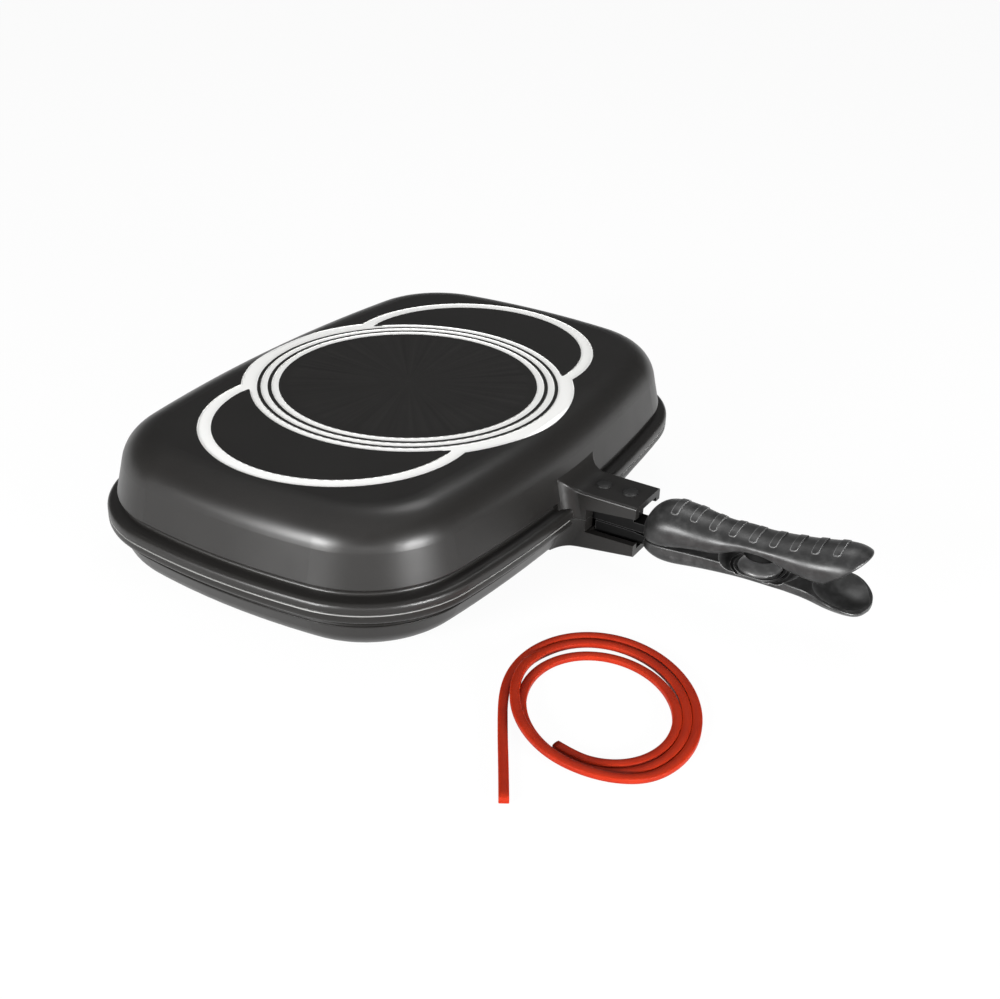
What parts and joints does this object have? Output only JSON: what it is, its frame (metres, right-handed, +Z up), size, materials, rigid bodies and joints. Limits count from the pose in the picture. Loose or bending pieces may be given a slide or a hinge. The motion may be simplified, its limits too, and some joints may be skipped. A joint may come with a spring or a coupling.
{
  "type": "double sided flip pan",
  "caption": "Rectangular double sided flip pan: two coated cast halves joined by a rear hinge, with magnetic split handles and a red silicone rim seal.",
  "frame": {"origin": "centre of the lower pan's flat base, on the surface it stands on", "axes": "+Z up, +Y from the handles to the hinge, X along the pan's long sides"},
  "size_m": [0.3927, 0.4378, 0.0814],
  "materials": {
    "coated_pan": "die-cast, dark non-stick coating, satin",
    "grip_plastic": "black moulded heat-resistant plastic",
    "red_seal": "orange-red silicone, satin",
    "dark_steel": "blackened steel",
    "screw_steel": "blackened domed heads",
    "bright_steel": "plain bright steel",
    "magnet": "nickel plated"
  },
  "bodies": {
    "pan": {"lower_pan": "coated_pan", "rim_seal": "red_seal", "lower_tang": "dark_steel", "lower_handle": "grip_plastic", "lower_lug_screws": "screw_steel", "lower_handle_screw": "screw_steel", "lower_magnet": "magnet", "lower_magnet_cap": "grip_plastic", "hinge_pin": "bright_steel", "hinge_clip": "bright_steel", "hinge_washers": "bright_steel", "spare_seal_coil": "red_seal", "spare_seal_tail": "red_seal"},
    "lid": {"upper_pan": "coated_pan", "upper_tang": "dark_steel", "upper_handle": "grip_plastic", "upper_lug_screws": "screw_steel", "upper_handle_screw": "screw_steel", "upper_magnet": "magnet", "upper_magnet_cap": "grip_plastic"}
  },
  "joints": [
    {"name": "lid_hinge", "type": "hinge", "parent": "pan", "child": "lid", "pos_m": [0, 0.134, 0.035], "axis": [-1, 0, 0], "range_deg": [0, 105]}
  ]
}
